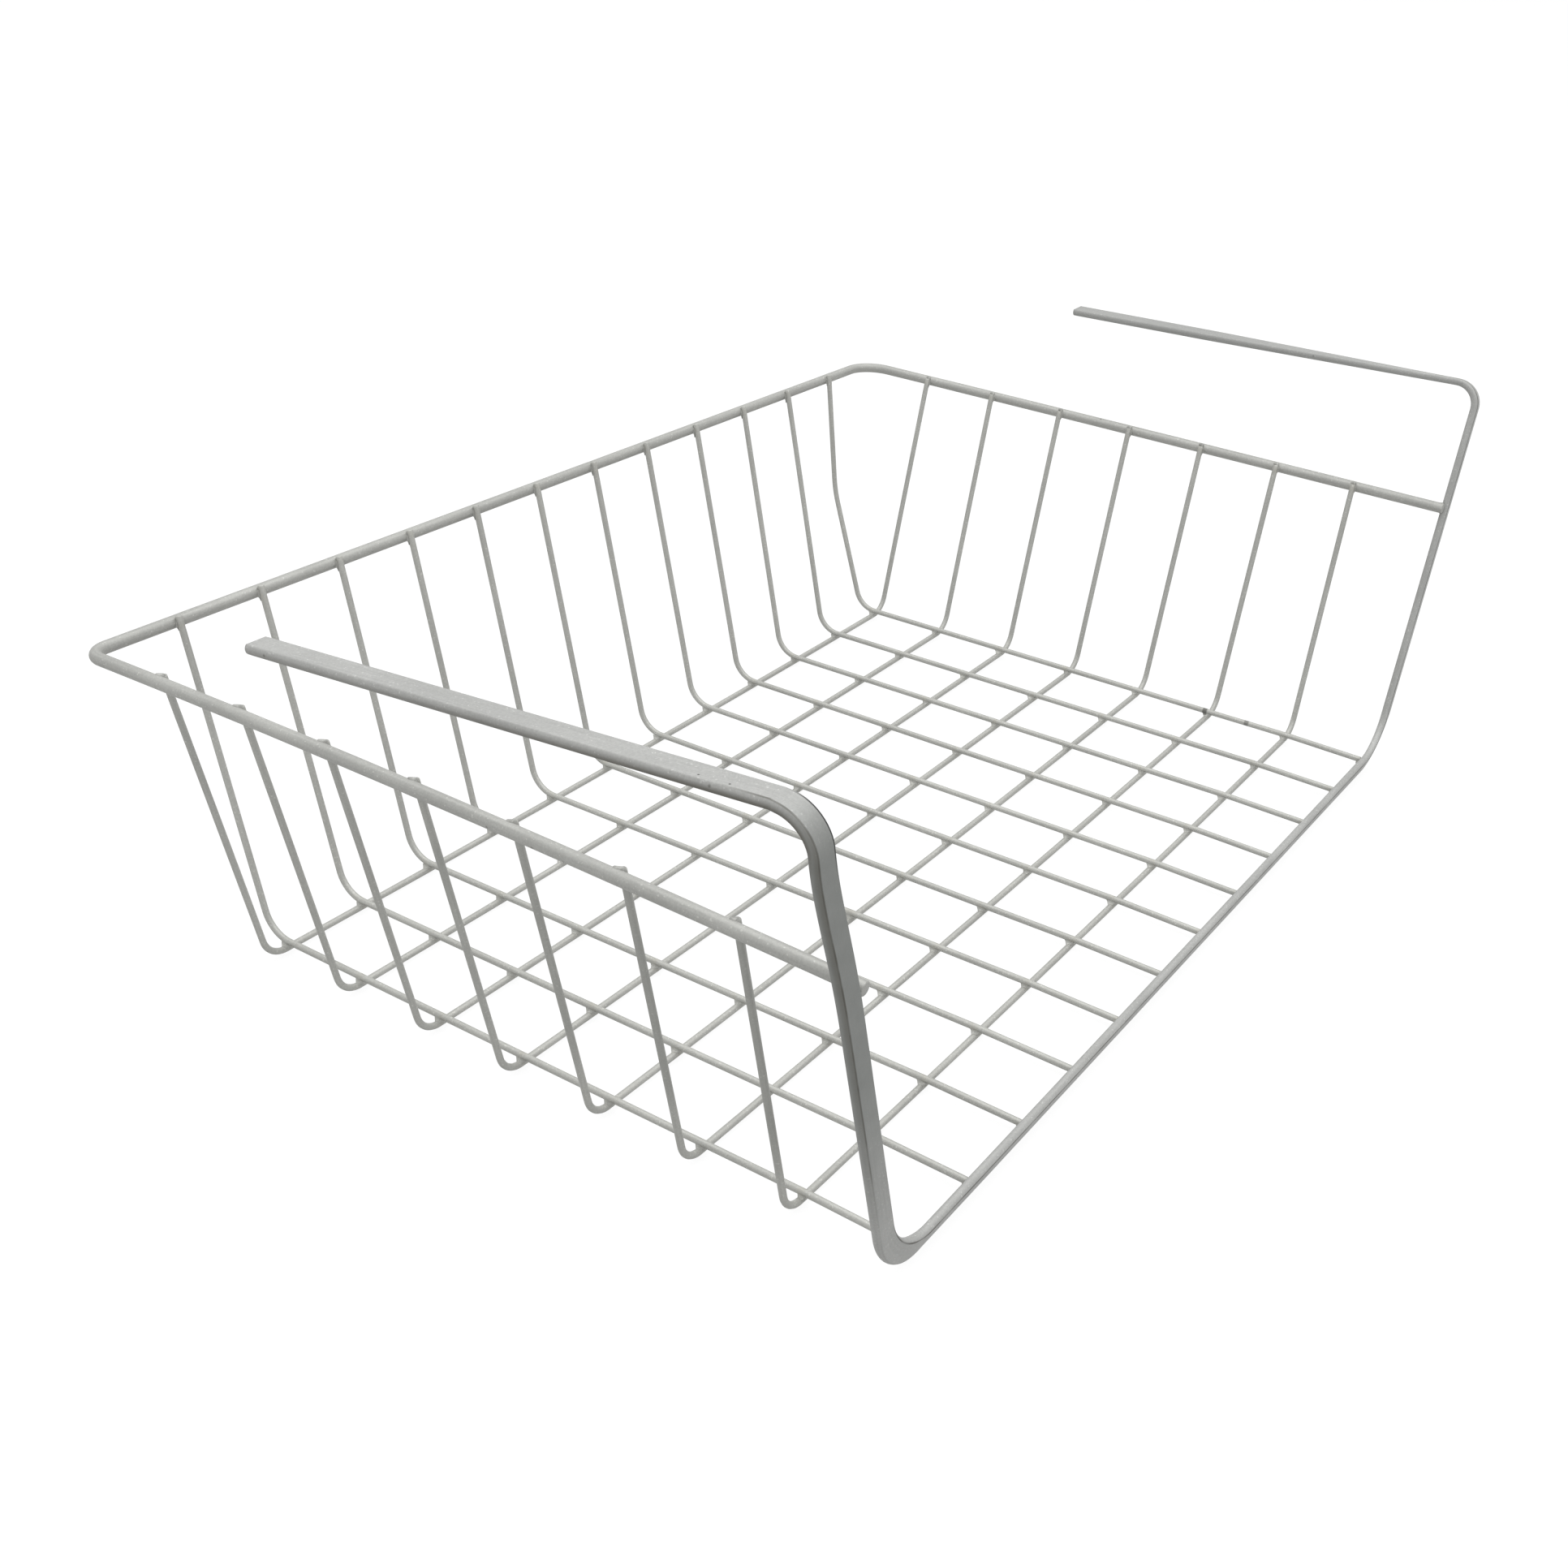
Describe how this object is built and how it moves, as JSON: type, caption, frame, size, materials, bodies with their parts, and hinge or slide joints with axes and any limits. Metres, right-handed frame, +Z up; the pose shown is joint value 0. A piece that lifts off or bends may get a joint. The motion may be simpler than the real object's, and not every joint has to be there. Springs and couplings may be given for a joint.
{
  "type": "under shelf basket",
  "caption": "Open-front wire basket whose two flat-bar arms slide over a shelf board, so that it hangs below it and stores light things.",
  "frame": {"origin": "middle of the basket's overall box, at the underside of its cross wires", "axes": "+X along the width, from the left arm to the right arm; +Y from the open front towards the back wall; +Z up, towards the arms"},
  "size_m": [0.4514, 0.2615, 0.1498],
  "materials": {
    "bar_coat": "warm grey metallic powder coat on flat steel bar, fine brushed speckle, satin",
    "rim_coat": "warm grey metallic powder coat on steel rod, satin",
    "wire_coat": "warm grey metallic powder coat on thin steel wire, satin"
  },
  "bodies": {
    "root": {"hanger_frame": "bar_coat", "rim_wire": "rim_coat", "floor_wire_01": "wire_coat", "floor_wire_02": "wire_coat", "floor_wire_03": "wire_coat", "floor_wire_04": "wire_coat", "floor_wire_05": "wire_coat", "floor_wire_06": "wire_coat", "floor_wire_07": "wire_coat", "floor_wire_08": "wire_coat", "floor_wire_09": "wire_coat", "floor_wire_10": "wire_coat", "floor_wire_11": "wire_coat", "floor_wire_12": "wire_coat", "cross_wire_1": "wire_coat", "cross_wire_2": "wire_coat", "cross_wire_3": "wire_coat", "cross_wire_4": "wire_coat", "cross_wire_5": "wire_coat", "cross_wire_6": "wire_coat", "cross_wire_7": "wire_coat"}
  },
  "joints": []
}
